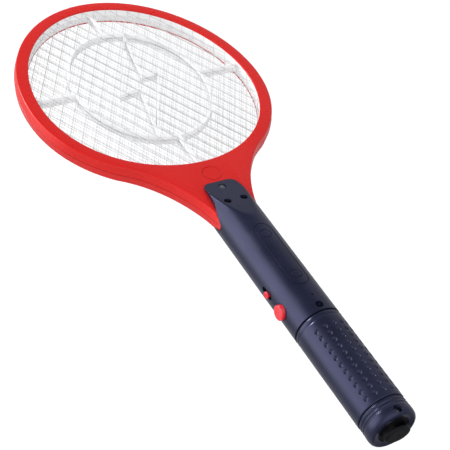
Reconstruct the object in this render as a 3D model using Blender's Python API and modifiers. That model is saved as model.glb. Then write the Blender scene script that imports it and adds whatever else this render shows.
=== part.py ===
"""Electric fly swatter: a racket-shaped head with three wire grids on a battery handle.

Sizes below are in millimetres and become metres when a shape is made. +Y runs along the handle to
the tip of the head and +Z is the front face. Places along Y are drawn from a datum that lies
BUTT_Y beyond the butt end, and the last step moves the origin to the centre of the flat butt end.
"""
import math

import bmesh
import bpy
from mathutils import Matrix, Vector

MM = 0.001
BUTT_Y = 10.2

# Head: the opening is an oval given by its first three harmonics about the head centre.
HEAD_Y = 366.0
OPENING_X = (87.25, -2.58, 0.98)
OPENING_Y = (96.94, 0.06, 0.86)
RIM_WIDTH = 9.27
HEAD_HALF_THICKNESS = 6.5
FACE_THICKNESS = 1.2
RIM_WALL = 1.6
RIM_DRAFT = 1.0
PARTING_GAP = 0.15
RIM_STEPS = 20
NECK_STEPS = 7
NECK_START_ANGLE = math.radians(144.5)
NECK_CURVE = ((56.0, -87.0), (24.5, -109.0), (13.8, -155.0), (15.8, -158.4))
TANG_HALF_WIDTH = 12.5
TANG_LENGTH = 14.0

# White spacers and wire grids
GRID_STEPS = 40
SPACER_OUTSIDE = 5.0
SPACER_INSIDE = 0.3
SPACER_LOW = 0.8
SPACER_HIGH = 3.6
RIB_WIDTH = 2.4
OVAL_CENTRE_Y = 2.5
OVAL_RADII = (53.0, 65.0)
BOLT_OUTLINE = ((14.0, 61.0), (5.9, 10.8), (20.2, 11.5), (-13.7, -55.5), (-2.8, -3.5), (-20.0, -6.5))
BOLT_RIB_HALF_WIDTH = 0.8
GRID_RIM_OUTSIDE = 4.5
GRID_RIM_INSIDE = 1.5
GRID_PITCH = 9.0
GRID_ANGLE = math.radians(60.0)
OUTER_GRID_Z = 4.45
OUTER_GRID_HALF = 0.6
CENTRE_GRID_HALF = 0.5
LAYER_GAP = 0.1
OUTER_WIRE = 0.9
CENTRE_WIRE = 0.6
TAB_HALF_WIDTH = 1.5
TAB_REACH = 6.0

# Handle shells
HANDLE_RADIUS = 17.0
HANDLE_INSIDE = 15.2
HANDLE_LOW = 104.3
NECK_END = 206.3
TONGUE_TIP = 244.3
PAD_SLOPE = 0.2112
PAD_AT_TIP = 7.2
SHELL_WALL = 1.9
NECK_SURFACE = 6.65
SKIRT_START = (NECK_END, 2.15)
SKIRT_END = (216.5, NECK_SURFACE)
SKIRT_GAP = 0.3
SKIRT_INSIDE = 13.2
TONGUE_OUTLINE = ((17.6, 103.0), (17.6, 208.5), (16.9, 210.5), (16.2, 214.5), (14.3, 222.5),
                  (13.3, 237.0), (12.8, 240.2), (11.4, 242.6), (9.6, 243.8), (7.4, TONGUE_TIP))
NECK_SCREWS = ((0.0, 237.5, 7.1, -7.6), (-6.5, 219.0, 8.6, -9.5), (6.5, 219.0, 8.6, -9.5))
SHELL_SCREW = (0.0, 109.0, 11.5, -10.5)
SCREW_SHANK = 1.3
SCREW_HOLE = 1.65
SCREW_HEAD = 2.4
SCREW_HEAD_PROFILE = ((0.0, 1.2), (0.9, 1.1), (1.8, 0.8), (2.4, 0.2), (2.4, 0.0))
BOSS_RADIUS = 4.2
LED_Y = 118.0
LED_HOLE = 0.8

# Controls on the left side
SLIDE_SLOT = (136.0, 147.5)
SLIDE_SLOT_HALF = 2.0
SLIDE_KNOB_Y = 140.5
BUTTON_Y = 123.7
BUTTON_RADIUS = 5.4
BUTTON_PROUD = 2.2

# Grip barrel, batteries and end cap
GRIP_HIGH = 104.0
GRIP_LOW = 29.0
GRIP_BORE = 15.0
GRIP_SPIGOT = 15.1
BATTERY_RADIUS = 7.05
BATTERY_X = 7.2
BATTERY_LOW = 23.5
BATTERY_LENGTH = 50.5
CAP_SCREW_Y = 18.5
CAP_SCREW_SEAT = 13.0
CAP_INSIDE = 17.5
CAP_RECESS_FLOOR = 16.0
STRAP_BAR_WIDTH = 9.8
STRAP_BAR_FLATTENING = 0.72
CARRIER_LOW = 78.0

# Circuit board
BOARD = ((-9.6, 116.0, -4.6), (9.6, 180.0, -3.2))
BOARD_TOP = -2.9


def start_scene():
    for item in list(bpy.data.objects):
        bpy.data.objects.remove(item, do_unlink=True)
    collections = []
    for name in ("electric_fly_swatter", "cutters"):
        collection = bpy.data.collections.new(name)
        bpy.context.scene.collection.children.link(collection)
        collections.append(collection)
    return collections


PARTS, CUTTERS = start_scene()


def make_material(name, colour, roughness, metallic=0.0):
    material = bpy.data.materials.new(name)
    material.use_nodes = True
    shader = material.node_tree.nodes["Principled BSDF"]
    shader.inputs["Base Color"].default_value = (*colour, 1.0)
    shader.inputs["Roughness"].default_value = roughness
    shader.inputs["Metallic"].default_value = metallic
    return material


RED = make_material("red_plastic", (0.68, 0.03, 0.03), 0.35)
NAVY = make_material("navy_plastic", (0.03, 0.03, 0.07), 0.4)
WHITE = make_material("white_plastic", (0.86, 0.86, 0.86), 0.45)
WIRE = make_material("grid_steel", (0.75, 0.75, 0.77), 0.3, 1.0)
STEEL = make_material("screw_steel", (0.6, 0.6, 0.62), 0.3, 1.0)
LENS = make_material("led_lens", (0.8, 0.1, 0.08), 0.1)
BOARD_GREEN = make_material("board_green", (0.02, 0.2, 0.08), 0.5)
COPPER = make_material("copper_winding", (0.7, 0.3, 0.12), 0.35, 1.0)
FERRITE = make_material("ferrite", (0.05, 0.05, 0.05), 0.7)
FILM_BROWN = make_material("film_capacitor", (0.35, 0.06, 0.02), 0.4)
BLACK = make_material("black_plastic", (0.02, 0.02, 0.02), 0.45)
RESISTOR_TAN = make_material("resistor_tan", (0.6, 0.45, 0.28), 0.5)
LEAD_RED = make_material("lead_red", (0.5, 0.02, 0.02), 0.5)
LEAD_BLACK = make_material("lead_black", (0.02, 0.02, 0.02), 0.5)
NICKEL = make_material("contact_nickel", (0.7, 0.68, 0.62), 0.25, 1.0)
BATTERY_WRAP = make_material("battery_wrap", (0.1, 0.25, 0.12), 0.35)


def place(name, mesh, material):
    """Link a mesh as a part, or as a cutter when it has no material."""
    item = bpy.data.objects.new(name, mesh)
    if material is None:
        CUTTERS.objects.link(item)
        item.hide_render = True
        item.display_type = "WIRE"
    else:
        PARTS.objects.link(item)
        mesh.materials.append(material)
        mesh.shade_smooth()
        mesh.set_sharp_from_angle(angle=math.radians(35.0))
    return item


def finish_mesh(name, work, material):
    bmesh.ops.recalc_face_normals(work, faces=work.faces)
    mesh = bpy.data.meshes.new(name)
    work.to_mesh(mesh)
    work.free()
    return place(name, mesh, material)


def add_box(work, low, high):
    size = [(b - a) * MM for a, b in zip(low, high)]
    centre = [(a + b) / 2 * MM for a, b in zip(low, high)]
    matrix = Matrix.Translation(centre) @ Matrix.Diagonal((*size, 1.0))
    bmesh.ops.create_cube(work, size=1.0, matrix=matrix)


def box(name, low, high, material=None, bevel=0.0):
    work = bmesh.new()
    add_box(work, low, high)
    item = finish_mesh(name, work, material)
    if bevel:
        rounding = item.modifiers.new("rounded_edges", "BEVEL")
        rounding.width = bevel * MM
        rounding.segments = 2
    return item


def cylinder(name, radius, start, end, material=None, sides=24):
    work = bmesh.new()
    first = Vector(start) * MM
    last = Vector(end) * MM
    axis = last - first
    turn = axis.to_track_quat("Z", "Y").to_matrix().to_4x4()
    half_step = Matrix.Rotation(math.pi / sides, 4, "Z")
    matrix = Matrix.Translation((first + last) / 2) @ turn @ half_step
    bmesh.ops.create_cone(work, cap_ends=True, segments=sides, radius1=radius * MM,
                          radius2=radius * MM, depth=axis.length, matrix=matrix)
    return finish_mesh(name, work, material)


def turned(name, profile, origin, axis, material=None, sides=24):
    """Solid of revolution; the profile is (radius, height) from top to bottom along the axis."""
    mesh = bpy.data.meshes.new(name)
    points = [(radius * MM, 0.0, height * MM) for radius, height in profile]
    edges = [(i, i + 1) for i in range(len(points) - 1)]
    mesh.from_pydata(points, edges, [])
    item = place(name, mesh, material)
    item.location = Vector(origin) * MM
    item.rotation_euler = Vector(axis).to_track_quat("Z", "Y").to_euler()
    screw = item.modifiers.new("turn", "SCREW")
    screw.steps = sides
    screw.render_steps = sides
    screw.use_merge_vertices = True
    screw.merge_threshold = 0.000001
    return item


def plate(name, loops, low, high, material=None, axes="XYZ"):
    """Flat outline with holes, extruded from low to high along the third of the given axes."""
    curve = bpy.data.curves.new(name, "CURVE")
    curve.dimensions = "2D"
    curve.fill_mode = "BOTH"
    curve.extrude = abs(high - low) / 2 * MM
    for loop in loops:
        spline = curve.splines.new("POLY")
        spline.points.add(len(loop) - 1)
        spline.use_cyclic_u = True
        for point, (first, second) in zip(spline.points, loop):
            point.co = (first * MM, second * MM, 0.0, 1.0)
    middle = Matrix.Translation((0.0, 0.0, (low + high) / 2 * MM))
    turn = Matrix.Identity(4)
    if axes == "YZX":
        turn = Matrix(((0, 0, 1, 0), (1, 0, 0, 0), (0, 1, 0, 0), (0, 0, 0, 1)))
    return curve_to_part(name, curve, turn @ middle, material)


def curve_to_part(name, curve, matrix, material):
    guide = bpy.data.objects.new(name + "_curve", curve)
    CUTTERS.objects.link(guide)
    bpy.context.view_layer.update()
    mesh = bpy.data.meshes.new_from_object(guide.evaluated_get(bpy.context.evaluated_depsgraph_get()))
    bpy.data.objects.remove(guide, do_unlink=True)
    mesh.transform(matrix)
    work = bmesh.new()
    work.from_mesh(mesh)
    bpy.data.meshes.remove(mesh)
    bmesh.ops.remove_doubles(work, verts=work.verts, dist=0.000001)
    return finish_mesh(name, work, material)


def wire(name, points, radius, material, resolution=1):
    curve = bpy.data.curves.new(name, "CURVE")
    curve.dimensions = "3D"
    curve.bevel_depth = radius * MM
    curve.bevel_resolution = resolution
    curve.use_fill_caps = True
    spline = curve.splines.new("POLY")
    spline.points.add(len(points) - 1)
    for point, place_at in zip(spline.points, points):
        point.co = (*(Vector(place_at) * MM), 1.0)
    return curve_to_part(name, curve, Matrix.Identity(4), material)


def loft(name, stations, material=None):
    """Closed band through (loop, height) stations; the last station joins the first."""
    work = bmesh.new()
    rings = []
    for loop, height in stations:
        rings.append([work.verts.new((x * MM, y * MM, height * MM)) for x, y in loop])
    count = len(rings[0])
    for number, ring in enumerate(rings):
        following = rings[(number + 1) % len(rings)]
        for i in range(count):
            j = (i + 1) % count
            work.faces.new((ring[i], ring[j], following[j], following[i]))
    return finish_mesh(name, work, material)


def combine(target, tool, operation):
    change = target.modifiers.new(tool.name, "BOOLEAN")
    change.operation = operation
    change.solver = "EXACT"
    change.object = tool
    return target


def cut(target, *tools):
    for tool in tools:
        combine(target, tool, "DIFFERENCE")
    return target


def fuse(target, *tools):
    for tool in tools:
        combine(target, tool, "UNION")
    return target


def keep_inside(target, tool):
    return combine(target, tool, "INTERSECT")


# ---------------------------------------------------------------- head outlines

def opening_point(angle):
    """Point of the opening at an angle from the tip, turning towards +X."""
    x = sum(size * math.sin((k + 1) * angle) for k, size in enumerate(OPENING_X))
    y = sum(size * math.cos((k + 1) * angle) for k, size in enumerate(OPENING_Y))
    return x, y + HEAD_Y


def offset_loop(loop, distance):
    """Move a closed clockwise loop outwards by a distance, with mitred corners."""
    moved = []
    for i, point in enumerate(loop):
        here = Vector(point)
        before = (here - Vector(loop[i - 1])).normalized()
        after = (Vector(loop[(i + 1) % len(loop)]) - here).normalized()
        normal_before = Vector((-before.y, before.x))
        normal_after = Vector((-after.y, after.x))
        mitre = (normal_before + normal_after) / (1.0 + normal_before.dot(normal_after))
        moved.append(tuple(here + mitre * distance))
    return moved


def mirrored_loop(right_half):
    """Close a loop whose points run down the right side, with its ends on the Y axis."""
    left_half = [(-x, y) for x, y in reversed(right_half[1:-1])]
    return right_half + left_half


def opening_loop(steps):
    return [opening_point(2.0 * math.pi * i / steps) for i in range(steps)]


def bezier(points, t):
    a, b, c, d = [Vector(p) for p in points]
    s = 1.0 - t
    return a * s ** 3 + b * 3 * s * s * t + c * 3 * s * t * t + d * t ** 3


def frame_loops():
    """Matched outlines of the opening and of the rim with its neck and tang."""
    tail = NECK_STEPS + 3
    angles = [NECK_START_ANGLE * i / RIM_STEPS for i in range(RIM_STEPS + 1)]
    angles += [NECK_START_ANGLE + (math.pi - NECK_START_ANGLE) * i / tail for i in range(1, tail + 1)]
    inner = mirrored_loop([opening_point(angle) for angle in angles])
    rim = offset_loop(inner, RIM_WIDTH)[:RIM_STEPS + 1]
    start = Vector((rim[-1][0], rim[-1][1] - HEAD_Y))
    curve = (start,) + NECK_CURVE[1:]
    neck = [bezier(curve, i / NECK_STEPS) for i in range(1, NECK_STEPS + 1)]
    right = rim + [(point.x, point.y + HEAD_Y) for point in neck]
    shoulder = NECK_CURVE[-1][1] + HEAD_Y
    right.append((TANG_HALF_WIDTH, shoulder))
    right.append((TANG_HALF_WIDTH, shoulder - TANG_LENGTH))
    right.append((0.0, shoulder - TANG_LENGTH))
    return inner, mirrored_loop(right)


# ---------------------------------------------------------------- head parts

def screw_cutters(name, side):
    """Clearance holes, and head recesses on the front, for the four long screws."""
    tools = []
    for number, (x, y, seat, end) in enumerate(NECK_SCREWS + (SHELL_SCREW,)):
        label = "%s_hole_%d" % (name, number)
        low = end - 0.3
        tools.append(cylinder(label, SCREW_HOLE, (x, y, low), (x, y, seat + 1.0), sides=12))
        if side > 0:
            tools.append(cylinder(label + "_head", SCREW_HEAD + 0.35, (x, y, seat), (x, y, 20.0), sides=16))
    return tools


def skirt_wedges(name, side):
    """Corners of the neck's end that the skirts of the handle shells cover."""
    slope = (SKIRT_END[1] - SKIRT_START[1]) / (SKIRT_END[0] - SKIRT_START[0])
    section = []
    for y in (SKIRT_START[0] - 2.0, SKIRT_END[0] + SKIRT_GAP / slope):
        section.append((y, side * (SKIRT_START[1] + slope * (y - SKIRT_START[0]) - SKIRT_GAP)))
    section += [(y, side * 9.0) for y, z in reversed(section)]
    return [plate("%s_wedge_left" % name, [section], -25.0, -SKIRT_INSIDE, axes="YZX"),
            plate("%s_wedge_right" % name, [section], SKIRT_INSIDE, 25.0, axes="YZX")]


def head_ring(name, side):
    inner, outer = frame_loops()
    face = side * HEAD_HALF_THICKNESS
    under = side * (HEAD_HALF_THICKNESS - FACE_THICKNESS)
    split = side * PARTING_GAP
    stations = [
        (offset_loop(outer, RIM_DRAFT), split),
        (offset_loop(outer, 0.3), face - side * 0.6),
        (offset_loop(outer, -0.2), face),
        (offset_loop(inner, 0.3), face),
        (inner, face - side * 0.3),
        (inner, under),
        (offset_loop(outer, -RIM_WALL), under),
        (offset_loop(outer, -RIM_WALL + RIM_DRAFT - 0.2), split),
    ]
    ring = loft(name, stations, RED)
    for number, (x, y, seat, end) in enumerate(NECK_SCREWS):
        label = "%s_screw_hole_%d" % (name, number)
        cut(ring, cylinder(label, SCREW_HOLE, (x, y, -9.0), (x, y, 9.0), sides=12))
    cut(ring, *skirt_wedges(name, side))
    tang_end = NECK_CURVE[-1][1] + HEAD_Y - TANG_LENGTH
    cut(ring, box(name + "_lead_slot", (-5.0, tang_end - 3.0, -3.2), (5.0, tang_end + 3.0, 3.2)))
    for change in ring.modifiers:
        change.use_self = True
    return ring


def ellipse_loop(radii, centre_y, steps):
    loop = []
    for i in range(steps):
        angle = 2.0 * math.pi * i / steps
        loop.append((radii[0] * math.sin(angle), radii[1] * math.cos(angle) + centre_y))
    return loop


def spacer(name, side):
    """Rim wall, oval, four spokes and lightning bolt, each a little lower than the last."""
    opening = opening_loop(GRID_STEPS)
    centre_y = HEAD_Y + OVAL_CENTRE_Y
    oval = ellipse_loop(OVAL_RADII, centre_y, GRID_STEPS)
    bolt = [(x, y + HEAD_Y) for x, y in BOLT_OUTLINE]
    low = side * SPACER_LOW
    high = side * SPACER_HIGH
    rim = plate(name, [offset_loop(opening, SPACER_OUTSIDE), offset_loop(opening, SPACER_INSIDE)],
                low, high, WHITE)
    half = RIB_WIDTH / 2
    step = side * 0.06
    oval_rib = plate(name + "_oval", [offset_loop(oval, half), offset_loop(oval, -half)],
                     low + step, high - step)
    bolt_rib = plate(name + "_bolt", [offset_loop(bolt, BOLT_RIB_HALF_WIDTH),
                                      offset_loop(bolt, -BOLT_RIB_HALF_WIDTH)],
                     low + 3 * step, high - 3 * step)
    across = OPENING_X[0] + 2.0
    up = OPENING_Y[0] + 2.0
    spoke_y = centre_y + 1.0
    spans = (((-across, spoke_y - half), (-OVAL_RADII[0], spoke_y + half)),
             ((OVAL_RADII[0], spoke_y - half), (across, spoke_y + half)),
             ((-half, centre_y + OVAL_RADII[1]), (half, HEAD_Y + up)),
             ((-half, HEAD_Y - up), (half, centre_y - OVAL_RADII[1])))
    fuse(rim, oval_rib)
    for number, (first, second) in enumerate(spans):
        heights = sorted((low + 2 * step, high - 2 * step))
        spoke = box("%s_spoke_%d" % (name, number), (*first, heights[0]), (*second, heights[1]))
        fuse(rim, spoke)
    return fuse(rim, bolt_rib)


def chord(loop, normal, distance):
    """Ends of the straight cut where normal . point = distance crosses a loop about the head centre."""
    ends = []
    for i, point in enumerate(loop):
        here = Vector((point[0], point[1] - HEAD_Y))
        past = Vector((loop[i - 1][0], loop[i - 1][1] - HEAD_Y))
        a = past.dot(normal) - distance
        b = here.dot(normal) - distance
        if (a < 0.0) != (b < 0.0):
            ends.append(past.lerp(here, a / (a - b)))
    return ends


def grid(name, middle, half, width, shift, tab_x):
    """Two layers of parallel wires that cross without touching, held in one flat rim."""
    opening = opening_loop(GRID_STEPS)
    rim = plate(name, [offset_loop(opening, GRID_RIM_OUTSIDE), offset_loop(opening, GRID_RIM_INSIDE)],
                middle - half, middle + half, WIRE)
    anchor = offset_loop(opening, (GRID_RIM_OUTSIDE + GRID_RIM_INSIDE) / 2)
    work = bmesh.new()
    thickness = half - LAYER_GAP
    for direction in (1, -1):
        normal = Vector((-math.sin(direction * GRID_ANGLE), math.cos(GRID_ANGLE)))
        centre_z = middle + direction * (thickness / 2 + LAYER_GAP / 2)
        for k in range(-12, 12):
            ends = chord(anchor, normal, (k + shift) * GRID_PITCH)
            if len(ends) != 2 or (ends[0] - ends[1]).length < 2 * GRID_PITCH:
                continue
            span = ends[1] - ends[0]
            centre = (ends[0] + ends[1]) / 2
            matrix = (Matrix.Translation((centre.x * MM, (centre.y + HEAD_Y) * MM, centre_z * MM))
                      @ Matrix.Rotation(math.atan2(span.y, span.x), 4, "Z")
                      @ Matrix.Diagonal((span.length * MM, width * MM, (thickness - LAYER_GAP) * MM, 1.0)))
            bmesh.ops.create_cube(work, size=1.0, matrix=matrix)
    fuse(rim, finish_mesh(name + "_wires", work, None))
    bottom = opening_point(math.pi)[1] - GRID_RIM_OUTSIDE
    inset = 0.1
    tab = box(name + "_tab", (tab_x - TAB_HALF_WIDTH, bottom - TAB_REACH, middle - half + inset),
              (tab_x + TAB_HALF_WIDTH, bottom + 1.0, middle + half - inset))
    return fuse(rim, tab)


# ---------------------------------------------------------------- handle parts

def pad_height(y):
    return PAD_AT_TIP + PAD_SLOPE * (TONGUE_TIP - y)


def above_pad(name, side, lowered):
    """Block above the sloping pad of the tongue, lowered by a wall thickness for the inside."""
    far, near = TONGUE_TIP + 6.0, 150.0
    section = [(near, side * (pad_height(near) - lowered)), (far, side * (pad_height(far) - lowered)),
               (far, side * 40.0), (near, side * 40.0)]
    return plate(name, [section], -30.0, 30.0, axes="YZX")


def handle_shell(name, side):
    bore_end = NECK_END - 2.0
    shell = cylinder(name, HANDLE_RADIUS, (0, HANDLE_LOW, 0), (0, TONGUE_TIP + 4.0, 0), NAVY, sides=48)
    outline = list(TONGUE_OUTLINE) + [(-x, y) for x, y in reversed(TONGUE_OUTLINE)]
    keep_inside(shell, plate(name + "_plan", [outline], side * PARTING_GAP, side * 18.0))
    cut(shell, above_pad(name + "_pad", side, 0.0))
    far = TONGUE_TIP + 6.0
    neck = [(NECK_END, -side), (NECK_END, side * SKIRT_START[1]), (SKIRT_END[0], side * NECK_SURFACE),
            (far, side * NECK_SURFACE), (far, -side)]
    cut(shell, plate(name + "_neck_room", [neck], -25.0, 25.0, axes="YZX"))
    x, y, seat, end = SHELL_SCREW
    bore = cylinder(name + "_bore", HANDLE_INSIDE, (0, 100, 0), (0, bore_end, 0), sides=32)
    cut(bore, cylinder(name + "_boss", BOSS_RADIUS, (x, y, side * 0.1), (x, y, side * 18.0), sides=16))
    hollow_outline = [(-12.2, bore_end - 1.0), (12.2, bore_end - 1.0), (9.6, 236.5), (-9.6, 236.5)]
    hollow = plate(name + "_tongue_hollow", [hollow_outline], side * (NECK_SURFACE - 0.2), side * 18.0)
    keep_inside(hollow, cylinder(name + "_tongue_round", HANDLE_INSIDE, (0, 190, 0), (0, 250, 0), sides=32))
    cut(hollow, above_pad(name + "_pad_inside", side, SHELL_WALL))
    for number, (x, y, seat, end) in enumerate(NECK_SCREWS):
        cut(hollow, cylinder("%s_neck_boss_%d" % (name, number), BOSS_RADIUS - 0.3,
                             (x, y, side * 6.0), (x, y, side * 18.0), sides=16))
    tang_room = box(name + "_tang_room", (-13.9, bore_end - 2.0, -NECK_SURFACE),
                    (13.9, SKIRT_END[0] + 1.0, NECK_SURFACE))
    cut(shell, bore, hollow, tang_room)
    cut(shell, *screw_cutters(name, side))
    slot_low, slot_high = SLIDE_SLOT
    half = SLIDE_SLOT_HALF
    cut(shell, box(name + "_slide_slot", (-20, slot_low, -half), (-12, slot_high, half)))
    cut(shell, cylinder(name + "_button_hole", BUTTON_RADIUS + 0.35, (-20, BUTTON_Y, 0), (-11, BUTTON_Y, 0)))
    if side > 0:
        cut(shell, cylinder(name + "_led_hole", LED_HOLE, (0, LED_Y, 12), (0, LED_Y, 20), sides=12))
    return shell


def long_screw(name, spot):
    x, y, seat, end = spot
    shank = ((SCREW_SHANK, 0.0), (SCREW_SHANK, end - seat + 0.8), (0.0, end - seat))
    return turned(name, SCREW_HEAD_PROFILE + shank, (x, y, seat), (0, 0, 1), STEEL, sides=10)


def controls():
    knob = ((0.0, 19.0), (1.9, 18.9), (2.5, 18.3), (2.5, 17.4), (1.7, 17.3), (1.7, 12.2), (0.0, 12.2))
    turned("slide_switch_knob", knob, (0, SLIDE_KNOB_Y, 0), (-1, 0, 0), RED, sides=16)
    proud = HANDLE_RADIUS + BUTTON_PROUD
    button = ((0.0, proud), (3.2, proud - 0.15), (4.8, proud - 0.6), (BUTTON_RADIUS, proud - 1.4),
              (BUTTON_RADIUS, 13.0), (BUTTON_RADIUS + 1.2, 13.0), (BUTTON_RADIUS + 1.2, 12.0), (0.0, 12.0))
    turned("push_button", button, (0, BUTTON_Y, 0), (-1, 0, 0), RED, sides=24)
    cylinder("button_switch_plunger", 1.6, (-11.7, BUTTON_Y, 0), (-8.2, BUTTON_Y, 0), BLACK, sides=16)
    body = box("button_switch_body", (-9.4, BUTTON_Y - 3.5, BOARD_TOP), (-4.0, BUTTON_Y + 3.5, 3.0), BLACK)
    cut(body, cylinder("plunger_hole", 1.9, (-10.0, BUTTON_Y, 0), (-6.5, BUTTON_Y, 0), sides=16))
    box("slide_switch_body", (-11.9, 132.0, BOARD_TOP), (-5.0, 150.0, 2.9), STEEL)


# ---------------------------------------------------------------- electronics

def axial_component(name, y, radius, length, material):
    """Body lying across the board with a short lead at each end."""
    half = length / 2
    lead = 0.35
    reach = half + 1.1
    profile = ((0.0, reach), (lead, reach), (lead, half), (radius, half), (radius, -half),
               (lead, -half), (lead, -reach), (0.0, -reach))
    return turned(name, profile, (5.2, y, BOARD_TOP + radius), (1, 0, 0), material, sides=8)


def electronics():
    box("circuit_board", *BOARD, BOARD_GREEN)
    y, z = 167.0, BOARD_TOP + 5.5
    outer = [(-8.0, y - 9), (8.0, y - 9), (8.0, y + 9), (-8.0, y + 9)]
    windows = [[(s * 2.8, y - 6.2), (s * 6.6, y - 6.2), (s * 6.6, y + 6.2), (s * 2.8, y + 6.2)]
               for s in (-1, 1)]
    plate("transformer_core", [outer] + windows, z - 2.5, z + 2.5, FERRITE)
    coil = box("transformer_coil", (-6.3, y - 5.9, z - 5.5), (6.3, y + 5.9, z + 5.5), COPPER, bevel=1.0)
    cut(coil, box("coil_hole", (-2.8, y - 8, z - 2.8), (2.8, y + 8, z + 2.8)))
    box("hv_capacitor", (-3.5, 150.6, BOARD_TOP), (9.2, 156.4, 7.6), FILM_BROWN, bevel=0.9)
    can = ((0.0, 8.0), (2.9, 8.0), (3.2, 7.6), (3.2, BOARD_TOP), (0.0, BOARD_TOP))
    turned("smoothing_capacitor", can, (4.5, 142.8, 0), (0, 0, 1), BLACK, sides=16)
    arc = [math.radians(-50 + 28 * i) for i in range(11)]
    transistor = [(4.5 + 2.4 * math.sin(a), 136.4 - 2.4 * math.cos(a)) for a in arc]
    plate("oscillator_transistor", [transistor], BOARD_TOP, 2.2, BLACK)
    for number, y in enumerate((131.5, 128.5, 125.5)):
        axial_component("rectifier_diode_%d" % (number + 1), y, 1.25, 5.0, BLACK)
    axial_component("bleed_resistor", 122.3, 1.15, 6.2, RESISTOR_TAN)
    axial_component("base_resistor", 119.2, 1.15, 6.2, RESISTOR_TAN)
    axial_component("led_resistor", 148.2, 1.1, 6.2, RESISTOR_TAN)
    led = ((0.0, 15.0), (0.8, 14.8), (1.3, 14.2), (1.5, 13.4), (1.5, 10.0), (1.9, 10.0), (1.9, 9.2),
           (0.6, 9.2), (0.6, BOARD_TOP), (0.0, BOARD_TOP))
    turned("indicator_led", led, (0, LED_Y, 0), (0, 0, 1), LENS, sides=10)


def leads():
    tip = opening_point(math.pi)[1] - GRID_RIM_OUTSIDE - TAB_REACH - 0.3
    for name, x, inside, outside, material in (("front_grid_lead", 3.0, 2.0, OUTER_GRID_Z, LEAD_BLACK),
                                               ("center_grid_lead", -3.0, 0.0, 0.0, LEAD_RED),
                                               ("back_grid_lead", 3.0, -2.0, -OUTER_GRID_Z, LEAD_BLACK)):
        path = [(x * (1 if inside >= 0 else 2.2), 177.5, -2.2), (x, 186.0, inside), (x, 250.0, inside),
                (x, tip - 1.6, outside), (x, tip, outside)]
        wire(name, path, 0.5, material)
    for name, x, material in (("battery_lead_positive", 7.0, LEAD_RED),
                              ("battery_lead_negative", -7.0, LEAD_BLACK)):
        start = CARRIER_LOW + 2.3
        wire(name, [(x, start, 0.0), (x, 108.0, 0.0), (x, 114.0, -2.2), (x, 117.2, -2.2)], 0.6, material)


# ---------------------------------------------------------------- grip, batteries and end cap

def stadium_loop(centre_x, radius, steps=12):
    loop = []
    for side, start in ((1, 0.0), (-1, math.pi)):
        for i in range(steps + 1):
            angle = start + math.pi * i / steps
            loop.append((side * centre_x + radius * math.sin(angle), radius * math.cos(angle)))
    return loop


def lengthwise(name, loop, low, high):
    """Outline in X and Z, extruded along Y."""
    item = plate(name, [loop], low, high)
    item.data.transform(Matrix(((1, 0, 0, 0), (0, 0, 1, 0), (0, -1, 0, 0), (0, 0, 0, 1))))
    return item


def grip_barrel():
    spigot_end = CAP_INSIDE + 0.9
    profile = ((0.0, 112.0), (14.6, 112.0), (14.9, 111.5), (14.9, GRIP_HIGH), (15.9, GRIP_HIGH),
               (16.6, 103.4), (17.0, 102.0), (17.0, GRIP_LOW + 0.3), (16.7, GRIP_LOW),
               (GRIP_SPIGOT, GRIP_LOW), (GRIP_SPIGOT, spigot_end), (0.0, spigot_end))
    barrel = turned("grip_barrel", profile, (0, 0, 0), (0, 1, 0), NAVY, sides=40)
    bore = cylinder("grip_bore", GRIP_BORE, (0, 33, 0), (0, 101, 0), sides=32)
    mouth = cylinder("grip_mouth", 13.2, (0, 100, 0), (0, 114, 0), sides=24)
    slot = lengthwise("battery_slot", stadium_loop(BATTERY_X, BATTERY_RADIUS + 0.3), 12.0, 34.0)
    x, y, seat, end = SHELL_SCREW
    boss_hole = cylinder("grip_boss_hole", BOSS_RADIUS + 0.4, (x, y, -16), (x, y, 16), sides=16)
    key = box("cap_key_groove", (-4.7, 10.0, 11.4), (4.7, CAP_SCREW_Y + 4.7, 18.0))
    shank = box("cap_screw_slot", (-1.7, 10.0, 5.0), (1.7, CAP_SCREW_Y + 2.2, 14.0))
    return cut(barrel, bore, mouth, slot, boss_hole, key, shank)


def battery(name, x, top, bottom, axis):
    nub = 1.4
    length = BATTERY_LENGTH
    profile = ((0.0, length), (2.6, length), (2.75, length - 0.2), (2.75, length - nub),
               (6.6, length - nub), (BATTERY_RADIUS, length - nub - 0.5), (BATTERY_RADIUS, 0.5),
               (6.6, 0.0), (0.0, 0.0))
    start = bottom if axis > 0 else top
    return turned(name, profile, (x, start, 0), (0, axis, 0), BATTERY_WRAP, sides=16)


def coil_spring(name, x, low, high, radius, material):
    turns = 2.5
    steps = 20
    path = []
    for i in range(steps + 1):
        angle = 2.0 * math.pi * turns * i / steps
        taper = radius * (1.0 - 0.35 * i / steps)
        y = low + (high - low) * i / steps
        path.append((x + taper * math.cos(angle), y, taper * math.sin(angle)))
    return wire(name, path, 0.35, material, resolution=0)


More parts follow.
